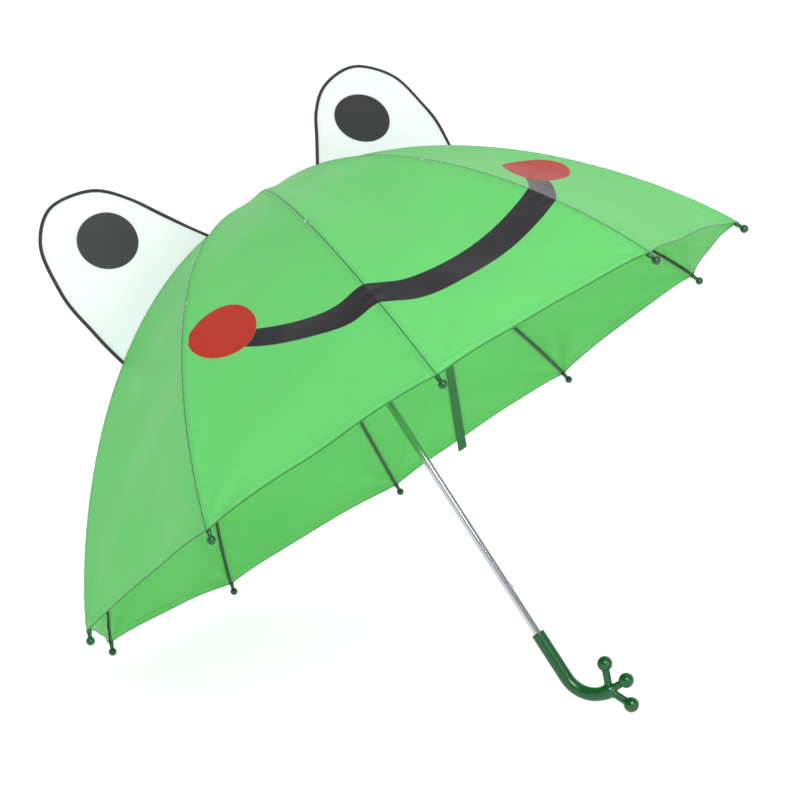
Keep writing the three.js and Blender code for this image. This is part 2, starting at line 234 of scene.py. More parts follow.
def mesh_object(name, points, faces, material, maps=None):
    """An object from points of the umbrella in millimetres; maps are UV layers, one pair per point."""
    mesh = bpy.data.meshes.new(name)
    mesh.from_pydata(to_row(points).tolist(), [], faces)
    mesh.update()
    corners = np.empty(len(mesh.loops), dtype=int)
    mesh.loops.foreach_get("vertex_index", corners)
    for layer, values in (maps or {}).items():
        uv = mesh.uv_layers.new(name=layer)
        uv.data.foreach_set("uv", np.asarray(values, float)[corners].ravel())
    mesh.polygons.foreach_set("use_smooth", [True] * len(mesh.polygons))
    mesh.materials.append(material)
    obj = bpy.data.objects.new(name, mesh)
    bpy.context.scene.collection.objects.link(obj)
    return obj


def grid_faces(rows, columns, start=0, flip=False, wrap=False):
    """Quads of a grid of points; wrap joins its last column to its first."""
    faces = []
    last = columns if wrap else columns - 1
    for i in range(rows - 1):
        for j in range(last):
            right = (j + 1) % columns
            a, b = start + i * columns + j, start + i * columns + right
            c, d = b + columns, a + columns
            faces.append((a, d, c, b) if flip else (a, b, c, d))
    return faces


def sheet_faces(rows, columns):
    """Faces of a closed sheet: the points of its outer grid, then those of its inner grid."""
    count = rows * columns
    faces = grid_faces(rows, columns) + grid_faces(rows, columns, count, flip=True)
    edge = list(range(columns))
    edge += [i * columns + columns - 1 for i in range(1, rows)]
    edge += [(rows - 1) * columns + j for j in range(columns - 2, -1, -1)]
    edge += [i * columns for i in range(rows - 2, 0, -1)]
    for here, there in zip(edge, edge[1:] + edge[:1]):
        faces.append((there, here, here + count, there + count))
    return faces


def unit(vector):
    return np.asarray(vector, float) / np.linalg.norm(vector)


def rounded(path, radius, rings=3):
    """A path and its radii, with a half ball at each end."""
    path = np.asarray(path, float)
    turns = np.linspace(0, math.pi / 2, rings + 1)[1:]
    start, end = unit(path[0] - path[1]), unit(path[-1] - path[-2])
    before = [path[0] + start * radius * math.sin(turn) for turn in turns[::-1]]
    after = [path[-1] + end * radius * math.sin(turn) for turn in turns]
    shrink = [radius * max(math.cos(turn), 0.03) for turn in turns]
    radii = np.array(shrink[::-1] + [radius] * len(path) + shrink)
    return np.vstack([before, path, after]), radii


def tube(name, path, radii, material, sides=10):
    """A closed tube along a path."""
    path = np.asarray(path, float)
    radii = np.broadcast_to(np.asarray(radii, float), (len(path),))
    tangents = np.gradient(path, axis=0)
    tangents /= np.linalg.norm(tangents, axis=1)[:, None]
    side = unit(np.cross(tangents[0], [0.123, 0.456, 0.881]))
    turns = np.linspace(0, 2 * math.pi, sides, endpoint=False)
    points = []
    for point, radius, tangent in zip(path, radii, tangents):
        side = unit(side - tangent * (side @ tangent))
        other = np.cross(tangent, side)
        ring = np.cos(turns)[:, None] * side + np.sin(turns)[:, None] * other
        points.append(point + radius * ring)
    faces = grid_faces(len(path), sides, wrap=True, flip=True)
    faces.append(tuple(range(sides)))
    faces.append(tuple(reversed(range((len(path) - 1) * sides, len(path) * sides))))
    return mesh_object(name, np.vstack(points), faces, material)


def lathe(name, profile, material, sides=48, place=None):
    """A solid of revolution about Z from (radius, height) points. A profile that stays off the axis is
    closed into a ring. place moves the points, and otherwise the axis is the shaft's."""
    profile = np.asarray(profile, float)
    turns = np.linspace(0, 2 * math.pi, sides, endpoint=False)
    radius, height = profile[:, 0], profile[:, 1]
    x = radius[:, None] * np.cos(turns)
    y = radius[:, None] * np.sin(turns)
    z = np.broadcast_to(height[:, None], x.shape)
    points = np.stack([x, y, z], axis=-1).reshape(-1, 3)
    rows = len(profile)
    ring = max(radius[0], radius[-1]) > NEAR_AXIS
    faces = grid_faces(rows, sides, wrap=True)
    if ring:
        faces += [
            ((rows - 1) * sides + j, (rows - 1) * sides + (j + 1) % sides, (j + 1) % sides, j)
            for j in range(sides)
        ]
    else:
        faces.append(tuple(reversed(range(sides))))
        faces.append(tuple(range((rows - 1) * sides, rows * sides)))
    obj = mesh_object(name, points if place is None else place(points), faces, material)
    outward(obj)
    return obj


def outward(obj):
    """Turns every face of a closed mesh outwards."""
    work = bmesh.new()
    work.from_mesh(obj.data)
    bmesh.ops.remove_doubles(work, verts=work.verts, dist=1e-6)
    bmesh.ops.recalc_face_normals(work, faces=work.faces)
    work.to_mesh(obj.data)
    work.free()
    return obj


def sharpened(obj, degrees):
    """Smooth shading, but for edges that turn by more than an angle."""
    obj.data.polygons.foreach_set("use_smooth", [True] * len(obj.data.polygons))
    obj.data.set_sharp_from_angle(angle=math.radians(degrees))
    return obj


def baked(obj):
    """Turns an object's modifiers into its own mesh."""
    bpy.context.view_layer.update()
    evaluated = obj.evaluated_get(bpy.context.evaluated_depsgraph_get())
    mesh = bpy.data.meshes.new_from_object(evaluated)
    obj.modifiers.clear()
    obj.data = mesh
    return obj


def joined(obj, *others):
    """obj with the others' meshes added to its own."""
    work = bmesh.new()
    for one in (obj, *others):
        work.from_mesh(one.data)
    work.to_mesh(obj.data)
    work.free()
    for one in others:
        bpy.data.objects.remove(one)
    return obj


# ---- node helpers ----------------------------------------------------------------------------------


class Shader:
    """A material and short ways of adding nodes to it."""

    def __init__(self, name, **sockets):
        self.material = bpy.data.materials.new(name)
        self.material.use_nodes = True
        self.tree = self.material.node_tree
        self.surface = self.tree.nodes["Principled BSDF"]
        for socket, value in sockets.items():
            self.surface.inputs[socket.replace("_", " ")].default_value = value

    def node(self, kind, inputs=None, **settings):
        node = self.tree.nodes.new(kind)
        for key, value in settings.items():
            setattr(node, key, value)
        for key, value in (inputs or {}).items():
            self.feed(node.inputs[key], value)
        return node

    def feed(self, socket, value):
        """Links a socket to another one's output, or sets its value."""
        if isinstance(value, bpy.types.NodeSocket):
            self.tree.links.new(value, socket)
        else:
            socket.default_value = value

    def math(self, operation, *values, clamp=False):
        node = self.node("ShaderNodeMath", operation=operation, use_clamp=clamp)
        for socket, value in zip(node.inputs, values):
            self.feed(socket, value)
        return node.outputs[0]

    def below(self, value, edge, softness):
        """1 where value is under edge and 0 where it is over, with a soft step between."""
        room = self.math("SUBTRACT", edge, value)
        return self.math("MULTIPLY_ADD", room, 1 / softness, 0.5, clamp=True)

    def mix(self, share, a, b):
        node = self.node("ShaderNodeMix", data_type="RGBA")
        self.feed(node.inputs[0], share)
        self.feed(node.inputs[6], a)
        self.feed(node.inputs[7], b)
        return node.outputs[2]

    def noise(self, vector, scale, detail=3.0, roughness=0.5):
        node = self.node(
            "ShaderNodeTexNoise",
            {"Vector": vector, "Scale": scale, "Detail": detail, "Roughness": roughness},
        )
        return node.outputs["Fac"]

    def uv(self, layer):
        """(vector, X, Y) of a UV layer."""
        vector = self.node("ShaderNodeUVMap", uv_map=layer).outputs[0]
        parts = self.node("ShaderNodeSeparateXYZ", {"Vector": vector}).outputs
        return vector, parts[0], parts[1]

    def objects(self, scale=1.0):
        """Object coordinates, in metres unless scaled."""
        coordinates = self.node("ShaderNodeTexCoord").outputs["Object"]
        inputs = {0: coordinates, 3: scale}
        return self.node("ShaderNodeVectorMath", inputs, operation="SCALE").outputs[0]

    def bump(self, height, distance, strength=1.0):
        inputs = {"Height": height, "Distance": distance, "Strength": strength}
        node = self.node("ShaderNodeBump", inputs)
        self.tree.links.new(node.outputs[0], self.surface.inputs["Normal"])
        return node.outputs[0]

    def translucent(self, share, colour, normal=None):
        """Lets some light through: share is how much of the surface passes light."""
        glow = self.node("ShaderNodeBsdfTranslucent", {"Color": colour})
        if normal is not None:
            self.feed(glow.inputs["Normal"], normal)
        mixer = self.node("ShaderNodeMixShader", {0: share})
        self.tree.links.new(self.surface.outputs[0], mixer.inputs[1])
        self.tree.links.new(glow.outputs[0], mixer.inputs[2])
        output = self.tree.nodes["Material Output"]
        self.tree.links.new(mixer.outputs[0], output.inputs["Surface"])


def srgb(red, green, blue):
    """A colour given in 0 to 255 steps, as the shader wants it."""
    steps = [value / 255 for value in (red, green, blue)]
    linear = [v / 12.92 if v < 0.04045 else ((v + 0.055) / 1.055) ** 2.4 for v in steps]
    return (*linear, 1.0)


# ---- materials -------------------------------------------------------------------------------------

CLOTH_GREEN = srgb(119, 220, 133)
CLOTH_GREEN_DEEP = srgb(111, 210, 124)
CLOTH_GLOW = srgb(174, 238, 130)
SEAM_GREEN = srgb(22, 104, 44)
PRINT_BLACK = srgb(34, 34, 37)
PRINT_RED = srgb(206, 56, 36)
WHITE_CLOTH = srgb(252, 254, 255)
WHITE_CLOTH_SHADE = srgb(246, 250, 252)
WHITE_GLOW = srgb(240, 246, 244)

# The smile and cheeks are placed on a flat map of the canopy: lengths along the cloth from the crown,
# with Y down the middle of the face. The pupil is placed from the inner end of a wing's base line.
SMILE_CENTRE = 178.6
SMILE_RADIUS = 197.4
SMILE_HALF_WIDTH = 14.2
SMILE_TAPER = 4.4
SMILE_LEAN = 1.4  # one end of the smile is this much wider
SMILE_DIP = 10
SMILE_DIP_REACH = 25
SMILE_END = math.radians(72)
CHEEKS = (
    {"centre": (-184.9, 217.9), "half_sizes": (42, 28), "turn": 76.7},
    {"centre": (204.5, 215.3), "half_sizes": (57, 30), "turn": -54.4},
)
PUPIL = {"centre": (58.5, 72.2), "half_sizes": (28.4, 27.2), "turn": 35}


def weave(shader, cloth_x, cloth_y, pitch):
    """A plain weave as a height from 0 to 1."""
    across = shader.math("SINE", shader.math("MULTIPLY", cloth_x, 2 * math.pi / pitch))
    along = shader.math("SINE", shader.math("MULTIPLY", cloth_y, 2 * math.pi / pitch))
    return shader.math("MULTIPLY_ADD", shader.math("MULTIPLY", across, along), 0.5, 0.5)


def smile_mask(shader, x, y):
    """An arc about a point on the face's middle line; the print sits lower where it crosses a rib."""
    from_centre = shader.math("SUBTRACT", y, SMILE_CENTRE)
    squares = shader.math("MULTIPLY_ADD", x, x, shader.math("MULTIPLY", from_centre, from_centre))
    distance = shader.math("SQRT", squares)
    turn = shader.math("ARCTAN2", x, from_centre)
    rib_turn = math.radians(-FACE_AZIMUTH + FIRST_RIB_AZIMUTH + 2 * PITCH)
    across_rib = shader.math("MULTIPLY", x, math.cos(rib_turn))
    across_rib = shader.math("MULTIPLY_ADD", y, -math.sin(rib_turn), across_rib)
    dip = shader.math("DIVIDE", across_rib, SMILE_DIP_REACH)
    dip = shader.math("EXPONENT", shader.math("MULTIPLY", shader.math("MULTIPLY", dip, dip), -1))
    radius = shader.math("MULTIPLY_ADD", dip, -SMILE_DIP, SMILE_RADIUS)
    off = shader.math("ABSOLUTE", shader.math("SUBTRACT", distance, radius))
    share = shader.math("DIVIDE", turn, SMILE_END)
    squares = shader.math("MULTIPLY", share, share)
    width = shader.math("MULTIPLY_ADD", squares, -SMILE_TAPER, SMILE_HALF_WIDTH)
    width = shader.math("MULTIPLY_ADD", share, SMILE_LEAN, width)
    band = shader.below(off, width, 0.6)
    ends = shader.below(shader.math("ABSOLUTE", turn), SMILE_END, 0.01)
    return shader.math("MULTIPLY", band, ends)


def ellipse_mask(shader, x, y, centre, half_sizes, turn, softness=0.6):
    """1 inside a turned ellipse and 0 outside it."""
    c, s = math.cos(math.radians(turn)), math.sin(math.radians(turn))
    dx = shader.math("SUBTRACT", x, centre[0])
    dy = shader.math("SUBTRACT", y, centre[1])
    long = shader.math("MULTIPLY_ADD", dx, c, shader.math("MULTIPLY", dy, s))
    short = shader.math("MULTIPLY_ADD", dx, -s, shader.math("MULTIPLY", dy, c))
    long = shader.math("DIVIDE", long, half_sizes[0])
    short = shader.math("DIVIDE", short, half_sizes[1])
    squares = shader.math("MULTIPLY_ADD", long, long, shader.math("MULTIPLY", short, short))
    return shader.below(shader.math("SQRT", squares), 1.0, softness / min(half_sizes))


def canopy_material():
    """Green cloth with the printed smile and cheeks, seams over the ribs and a stitched hem."""
    seam_strength, thread_strength = 0.85, 0.22
    shader = Shader("green_cloth", Roughness=0.46, Sheen_Weight=0.1, Sheen_Roughness=0.4)
    shader.surface.inputs["Specular IOR Level"].default_value = 0.3
    face, face_x, face_y = shader.uv("face_map")
    _, from_rib, down_rib = shader.uv("cloth_map")
    _, from_hem, _ = shader.uv("hem_map")
    smile = smile_mask(shader, face_x, face_y)
    cheek = [ellipse_mask(shader, face_x, face_y, **one) for one in CHEEKS]
    cheeks = shader.math("MAXIMUM", *cheek)
    smile = shader.math("MULTIPLY", smile, shader.math("SUBTRACT", 1.0, cheeks))

    dye = shader.noise(face, 0.012, 4)
    green = shader.mix(dye, CLOTH_GREEN, CLOTH_GREEN_DEEP)
    rib_distance = shader.math("ABSOLUTE", from_rib)
    seam = shader.below(rib_distance, 0.6, 0.6)
    hem_edge = shader.below(from_hem, 0.9, 0.6)
    stitch_turn = 2 * math.pi / STITCH_PITCH
    stitch_wave = shader.math("SINE", shader.math("MULTIPLY", down_rib, stitch_turn))
    dashes = shader.below(shader.math("MULTIPLY", stitch_wave, -1), 0.3, 0.5)
    beside = shader.math("ABSOLUTE", shader.math("SUBTRACT", rib_distance, STITCH_OFFSET))
    stitches = shader.math("MULTIPLY", shader.below(beside, 0.35, 0.3), dashes)
    from_fold = shader.math("ABSOLUTE", shader.math("SUBTRACT", from_hem, HEM_FOLD))
    hem_line = shader.below(from_fold, 0.4, 0.4)
    hem_wave = shader.math("SINE", shader.math("MULTIPLY", from_rib, stitch_turn))
    hem_stitches = shader.math("MULTIPLY", hem_line, shader.below(hem_wave, 0.4, 0.5))
    dark = shader.math("MAXIMUM", seam, hem_edge)
    thread = shader.math("MULTIPLY", shader.math("MAXIMUM", stitches, hem_stitches), thread_strength)
    green = shader.mix(shader.math("MULTIPLY", dark, seam_strength), green, SEAM_GREEN)
    green = shader.mix(thread, green, SEAM_GREEN)
    printed = shader.mix(smile, green, PRINT_BLACK)
    printed = shader.mix(cheeks, printed, PRINT_RED)
    shader.feed(shader.surface.inputs["Base Color"], printed)

    ink = shader.math("MAXIMUM", smile, cheeks)
    rough = shader.math("MULTIPLY_ADD", ink, 0.06, 0.36)
    rough = shader.math("MULTIPLY_ADD", shader.noise(face, 0.05), 0.08, rough)
    shader.feed(shader.surface.inputs["Roughness"], rough)
    threads = shader.math("MULTIPLY", weave(shader, from_rib, down_rib, THREAD_PITCH), 0.012)
    creases = shader.noise(face, 0.02, 2, 0.45)
    height = shader.math("MULTIPLY_ADD", creases, 3.0, threads)
    seam_fold = shader.below(rib_distance, SEAM_ALLOWANCE, 0.8)
    folded = shader.math("MAXIMUM", seam_fold, shader.below(from_hem, HEM_FOLD, 0.6))
    height = shader.math("MULTIPLY_ADD", folded, 0.12, height)
    height = shader.math("MULTIPLY_ADD", thread, -0.25, height)
    normal = shader.bump(height, 0.001, 0.8)
    glow = shader.mix(smile, CLOTH_GLOW, PRINT_BLACK)
    glow = shader.mix(cheeks, glow, PRINT_RED)

    # Plain cloth passes the most light, a seam less, and black ink almost none.
    clear = shader.math("MULTIPLY_ADD", smile, -0.34, 0.36)
    shader.translucent(shader.math("MULTIPLY_ADD", dark, -0.2, clear), glow, normal)
    return shader.material


def eye_material():
    """White cloth with a printed pupil."""
    shader = Shader("white_cloth", Roughness=0.6, Sheen_Weight=0.2)
    _, x, y = shader.uv("eye_map")
    pupil = ellipse_mask(shader, x, y, **PUPIL)
    white = shader.mix(shader.noise(shader.objects(40), 1.0), WHITE_CLOTH, WHITE_CLOTH_SHADE)
    shader.feed(shader.surface.inputs["Base Color"], shader.mix(pupil, white, PRINT_BLACK))
    threads = shader.math("MULTIPLY", weave(shader, x, y, THREAD_PITCH), 0.012)
    soft = shader.noise(shader.objects(22), 1.0, 4)
    normal = shader.bump(shader.math("MULTIPLY_ADD", soft, 1.2, threads), 0.001, 0.8)
    glow = shader.mix(pupil, WHITE_GLOW, PRINT_BLACK)
    shader.translucent(shader.math("MULTIPLY_ADD", pupil, -0.35, 0.38), glow, normal)
    return shader.material


def fabric_tape_material(name, colour, pitch=0.8):
    """Narrow woven tape."""
    shader = Shader(name, Roughness=0.62, Sheen_Weight=0.3)
    grain = shader.noise(shader.objects(1000 / pitch), 1.0, 2)
    dark = tuple(0.6 * value for value in colour[:3]) + (1.0,)
    shader.feed(shader.surface.inputs["Base Color"], shader.mix(grain, dark, colour))
    shader.bump(grain, 0.0004, 0.7)
    return shader.material


def plastic_material(name, colour, roughness=0.28, coat=0.0):
    """Moulded plastic with a faint unevenness in its gloss."""
    shader = Shader(name, Coat_Weight=coat)
    tone = shader.noise(shader.objects(30), 1.0, 4)
    darker = tuple(0.8 * value for value in colour[:3]) + (1.0,)
    shader.feed(shader.surface.inputs["Base Color"], shader.mix(tone, darker, colour))
    smear = shader.noise(shader.objects(60), 1.0, 5)
    rough = shader.math("MULTIPLY_ADD", smear, 0.16, roughness - 0.08)
    shader.feed(shader.surface.inputs["Roughness"], rough)
    shader.bump(shader.noise(shader.objects(250), 1.0, 3), 0.0002, 0.25)
    return shader.material


def metal_material(name, colour, roughness, marking=0.25):
    """Drawn metal with fine marks."""
    shader = Shader(name, Metallic=1.0)
    marks = shader.noise(shader.objects(400), 1.0, 5)
    darker = tuple((1 - marking) * value for value in colour[:3]) + (1.0,)
    shader.feed(shader.surface.inputs["Base Color"], shader.mix(marks, darker, colour))
    rough = shader.math("MULTIPLY_ADD", marks, 0.5 * marking, roughness - 0.25 * marking)
    shader.feed(shader.surface.inputs["Roughness"], rough)
    shader.bump(marks, 0.0001, marking)
    return shader.material


CANOPY = canopy_material()
EYE_CLOTH = eye_material()
PIPING = fabric_tape_material("piping", srgb(30, 30, 32))
STRAP_TAPE = fabric_tape_material("dark_cloth", srgb(40, 124, 60))
GREEN_PLASTIC = plastic_material("green_plastic", srgb(2, 84, 36), 0.24, 0.1)
WHITE_PLASTIC = plastic_material("white_plastic", srgb(232, 234, 228), 0.38)
STEEL = metal_material("steel", srgb(214, 217, 221), 0.16)
CHROME = metal_material("chrome", srgb(196, 200, 205), 0.12, 0.05)
ROD_STEEL = metal_material("dark_steel", srgb(96, 99, 102), 0.34)

# ---- cloth -----------------------------------------------------------------------------------------

HALF_PITCH = math.radians(PITCH / 2)
ARC_RADII = np.linspace(0, RIM_RADIUS - 0.05, 3000)
ARC_STEPS = np.hypot(np.diff(ARC_RADII), np.diff(dome_height(ARC_RADII)))
ARC_LENGTHS = np.concatenate([[0], np.cumsum(ARC_STEPS)])


def arc_at(radius):
    """Length of a rib from the crown's axis out to a radius."""
    return np.interp(radius, ARC_RADII, ARC_LENGTHS)


def hem_radius(share):
    """Where the cloth ends, by how far across the gore it is."""
    return HEM_RADIUS - HEM_CUT * (1 - np.abs(2 * share - 1) ** 3)


def unevenness(gore, share, radius):
    """How far the cloth of a gore stands off its straight lines between two ribs."""
    rng = np.random.default_rng(40 + gore)
    phases = rng.uniform(0, 2 * math.pi, 8)
    arc = arc_at(radius)
    width = 2 * radius * math.sin(HALF_PITCH)
    from_left, from_right = share * width, (1 - share) * width
    middle = 4 * share * (1 - share)
    off = -SAG * middle * np.sin(math.pi * np.clip(radius / RIM_RADIUS, 0, 1) ** 1.2)
    off -= SLACK * middle

    # Soft waves in three directions, which fade towards the ribs and the crown.
    waves = np.sin(arc / 21 + from_left / 34 + phases[0])
    waves += np.sin(arc / 33 - from_left / 19 + phases[1])
    waves += 0.7 * np.sin(arc / 12 + 1.5 * np.sin(from_left / 26 + phases[2]) + phases[3])
    off += WAVE_HEIGHT * waves * middle * np.clip(radius / 120, 0, 1)

    # Gathers along each seam, and folds that fan out from each rib tip.
    hem_arc = arc_at(HEM_RADIUS)
    for side, (near, phase) in enumerate(((from_left, phases[4]), (from_right, phases[5]))):
        gather = np.sin(2 * math.pi * arc / GATHER_LENGTH + phase + 1.8 * np.sin(arc / 31 + phase))
        off += GATHER_HEIGHT * gather * (near / GATHER_REACH) * np.exp(1 - near / GATHER_REACH)
        up = np.clip(hem_arc - arc, 0, None)
        reach = np.hypot(near, up)
        turn = np.arctan2(near, up + 1e-6)
        fan = np.cos(8 * turn + phase + 0.6 * side)
        fan *= np.exp(-reach / TIP_FOLD_REACH) * (1 - np.exp(-near / 9))
        off += TIP_FOLD_HEIGHT * fan * np.clip(reach / 14, 0, 1)
    return off


def gore_points(gore, share, radius, lift):
    """Points of a gore between its two ribs, in umbrella millimetres."""
    x, z = rib_point(radius, lift)
    slope = dome_slope(radius) / math.cos(HALF_PITCH)
    size = np.hypot(slope, 1)
    off = unevenness(gore, share, radius)
    along = (2 * share - 1) * x * math.sin(HALF_PITCH)
    outwards = x * math.cos(HALF_PITCH) + off * slope / size
    points = np.stack([outwards, along, z + off / size], axis=-1)
    return turned(points, azimuth_of(gore) + HALF_PITCH)


def cloth_piece(name, rib, inner, outer, rows, columns):
    """The cloth over one rib, out to the middle of the gores on both sides. inner and outer are radii,
    and an outer of None is the hem. Returns the object, its area and its flat size."""
    half = np.linspace(0, 1, columns // 2 + 1) ** 1.5 * 0.5
    shares = np.concatenate([1 - half[::-1], half[1:]])
    gores = [(rib - 2) % RIBS + 1] * (columns // 2 + 1) + [rib] * (columns // 2)
    steps = np.linspace(0, 1, rows)
    layers = []
    for layer in ("outer", "inner"):
        columns_made, hem_distances = [], []
        for gore, share in zip(gores, shares):
            end = hem_radius(share) if outer is None else outer
            radius = inner + (end - inner) * steps
            share_list = np.full(rows, share)
            from_hem = arc_at(hem_radius(share)) - arc_at(radius)
            fold = np.clip((HEM_FOLD - from_hem) / 1.5, 0, 1)
            thick = CLOTH_THICKNESS + (HEM_THICKNESS - CLOTH_THICKNESS) * fold
            lift = CLOTH_LIFT + (CLOTH_THICKNESS if layer == "outer" else CLOTH_THICKNESS - thick)
            columns_made.append(gore_points(gore, share_list, radius, lift))
            hem_distances.append(np.stack([radius, from_hem], axis=-1))
        layers.append(np.stack(columns_made, axis=1).reshape(-1, 3))
    points = np.vstack(layers)
    radius, from_hem = np.stack(hem_distances, axis=1).reshape(-1, 2).T
    arc = arc_at(radius)
    width = 2 * radius * math.sin(HALF_PITCH)
    all_shares = np.tile(shares, rows)
    before = np.tile(np.arange(len(shares)) <= columns // 2, rows)
    from_rib = np.where(before, -(1 - all_shares) * width, all_shares * width)
    azimuths = np.arctan2(layers[0][:, 1], layers[0][:, 0]) - math.radians(FACE_AZIMUTH)
    maps = {
        "face_map": np.stack([arc * np.sin(azimuths), arc * np.cos(azimuths)], axis=-1),
        "cloth_map": np.stack([from_rib, arc], axis=-1),
        "hem_map": np.stack([from_hem, all_shares], axis=-1),
    }
    maps = {layer: np.vstack([values, values]) for layer, values in maps.items()}
    faces = sheet_faces(rows, len(shares))
    obj = mesh_object(name, points, faces, CANOPY, maps)
    outward(obj)
    sharpened(obj, 55)
    grid = layers[0].reshape(rows, len(shares), 3)
    down, across = np.diff(grid, axis=0)[:, :-1], np.diff(grid, axis=1)[:-1]
    area = np.linalg.norm(np.cross(down, across), axis=-1).sum() * MM * MM
    length = (arc.max() - arc.min()) * MM
    return obj, area, (max(width.max() * MM, area / length), length)


def add_canopy():
    """Twenty pieces of cloth: over every rib, one on its inner half and one on its outer."""
    rows, columns = ((88, 44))
    for rib in range(1, RIBS + 1):
        azimuth = azimuth_of(rib)
        halves = (
            ("upper", "rib_inner", CLOTH_INNER_RADIUS, BEND_RADIUS),
            ("lower", "rib_outer", BEND_RADIUS, None),
        )
        for half, body, inner, outer in halves:
            name = f"cloth_{half}_{pad(rib)}"
            obj, area, flat = cloth_piece(name, rib, inner, outer, rows, columns)
            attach(obj, f"{body}_{pad(rib)}")
            x, z = rib_point(BEND_RADIUS, CLOTH_LIFT)
            anchor = to_row(turned([x, 0, z], azimuth))
            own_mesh(obj)
            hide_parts(f"gore_{half}_{pad(rib)}")


# ---- ribs and stretchers ---------------------------------------------------------------------------


def rib_path(start, end, count):
    """Points along a rib between two radii, in its sector."""
    radius = np.linspace(start, end, count)
    x, z = rib_point(radius)
    return np.stack([x, np.zeros(count), z], axis=-1)


def add_rib(number):
    """One sprung rod from the crown to its ball tip; the real rod bends at the stretcher when the
    umbrella shuts, but this one keeps its open shape.
    """
    azimuth, ident = azimuth_of(number), pad(number)
    count = 90
    start, end = HINGE_RADIUS - 1.5, RIM_RADIUS - 2
    x, z = rib_point(start + (end - start) * np.linspace(0, 1, count) ** 0.9)
    path, sizes = rounded(np.stack([x, np.zeros(count), z], axis=-1), RIB_RADIUS)
    rod = tube(f"rod_{ident}", turned(path, azimuth), sizes, ROD_STEEL, sides=10)
    bend = rib_path(BEND_RADIUS - 9, BEND_RADIUS + 9, 2)
    near, far = to_row(turned(bend, azimuth))
    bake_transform(rod)
    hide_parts(f"rib_inner_{ident}", f"rib_outer_{ident}")

    # The ball tip and the collar that the hem is sewn to.
    inside, tip_centre = rib_path(RIM_RADIUS - 7, RIM_RADIUS, 2)
    along = unit(inside - tip_centre)
    turns = np.linspace(0, math.pi * 0.84, 14)
    profile = [(NEAR_AXIS, -TIP_RADIUS)]
    profile += [(TIP_RADIUS * math.sin(t), -TIP_RADIUS * math.cos(t)) for t in turns[1:]]
    neck = TIP_RADIUS * 0.9
    profile += [
        (COLLAR_RADIUS * 0.86, neck + 0.3),
        (COLLAR_RADIUS * 0.86, neck + COLLAR_LENGTH * 0.3),
        (COLLAR_RADIUS, neck + COLLAR_LENGTH * 0.36),
        (COLLAR_RADIUS, neck + COLLAR_LENGTH * 0.66),
        (COLLAR_RADIUS * 0.8, neck + COLLAR_LENGTH * 0.74),
        (NEAR_AXIS, neck + COLLAR_LENGTH * 0.74),
    ]
    side = np.cross(along, [0, 1, 0])

    def place(points):
        points = points[:, :1] * side + points[:, 1:2] * np.array([0, 1, 0]) + points[:, 2:] * along
        return turned(points + tip_centre, azimuth)

    tip = lathe(f"tip_{ident}", profile, GREEN_PLASTIC, sides=24, place=place)
    sharpened(tip, 60)
    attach(tip, f"rib_outer_{ident}")

    # The clip on the rib that the stretcher is pinned to.
    sleeve = rib_path(BEND_RADIUS - 12, BEND_RADIUS - 2, 5)
    sleeve, sizes = rounded(sleeve, RIB_RADIUS + 0.55, rings=2)
    clip = tube(f"clip_{ident}", turned(sleeve, azimuth), sizes, STEEL, sides=12)
    x, z = rib_point(BEND_RADIUS - PIN_INSET, -PIN_DROP)
    pin = np.linspace([x, 0.6, z], [x, STRETCHER_OFFSET - 1.5, z], 4)
    pin_path, pin_sizes = rounded(pin, 0.75, rings=2)
    joined(clip, tube("pin", turned(pin_path, azimuth), pin_sizes, STEEL, sides=10))
    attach(clip, f"rib_inner_{ident}")


def add_stretcher(number):
    """A pressed channel with a flat eye at each end."""
    azimuth, ident = azimuth_of(number), pad(number)
    end_x, end_z = rib_point(BEND_RADIUS - PIN_INSET, -PIN_DROP)
    reach = BEND_RADIUS - HINGE_RADIUS
    start_z = float(dome_height(BEND_RADIUS)) - math.sqrt(STRETCHER_LENGTH**2 - reach**2)
    start, end = np.array([HINGE_RADIUS, start_z]), np.array([float(end_x), float(end_z)])
    along = unit(end - start)
    up = np.array([-along[1], along[0]])
    length = np.linalg.norm(end - start)
    width, depth, wall = 1.1, 1.0, 0.38
    outline = (
        (-width, -depth),
        (-width, depth),
        (width, depth),
        (width, -depth),
        (width - wall, -depth),
        (width - wall, depth - wall),
        (-width + wall, depth - wall),
        (-width + wall, -depth),
    )
    # Distance along the bar, and the shares of its full width and depth that it has there.
    steps = (
        (-STRETCHER_END_RADIUS, 0.35, 0.5),
        (2.5, 0.45, 0.9),
        (7, 1, 1),
        (length * 0.5, 1, 1),
        (length - 7, 1, 1),
        (length - 2.5, 0.45, 0.9),
        (length + STRETCHER_END_RADIUS, 0.35, 0.5),
    )
    points = []
    for at, thin, tall in steps:
        middle = start + along * at
        for side, high in outline:
            x, z = middle + up * high * tall
            points.append((x, STRETCHER_OFFSET + side * thin, z))
    count = len(outline)
    faces = grid_faces(len(steps), count, wrap=True)
    faces.append(tuple(range(count)))
    faces.append(tuple(reversed(range((len(steps) - 1) * count, len(steps) * count))))
    bar = mesh_object(f"stretcher_bar_{ident}", turned(points, azimuth), faces, STEEL)
    outward(bar)
    rim, full = STRETCHER_END_RADIUS - 0.3, STRETCHER_END_RADIUS
    ends = []
    for x, z in (start, end):
        disc = [(x, STRETCHER_OFFSET + across, z) for across in (-0.65, -0.45, 0.45, 0.65)]
        ends.append(tube("end", turned(disc, azimuth), [rim, full, full, rim], STEEL, sides=20))
    joined(bar, *ends)
    sharpened(bar, 40)
    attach(bar, f"stretcher_{ident}")
    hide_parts(f"stretcher_{ident}")


# ---- eyes and strap --------------------------------------------------------------------------------


def between(t, start, end, a, b):
    """The point that goes from a to b as t goes from start to end."""
    return (end - t) / (end - start) * a + (t - start) / (end - start) * b


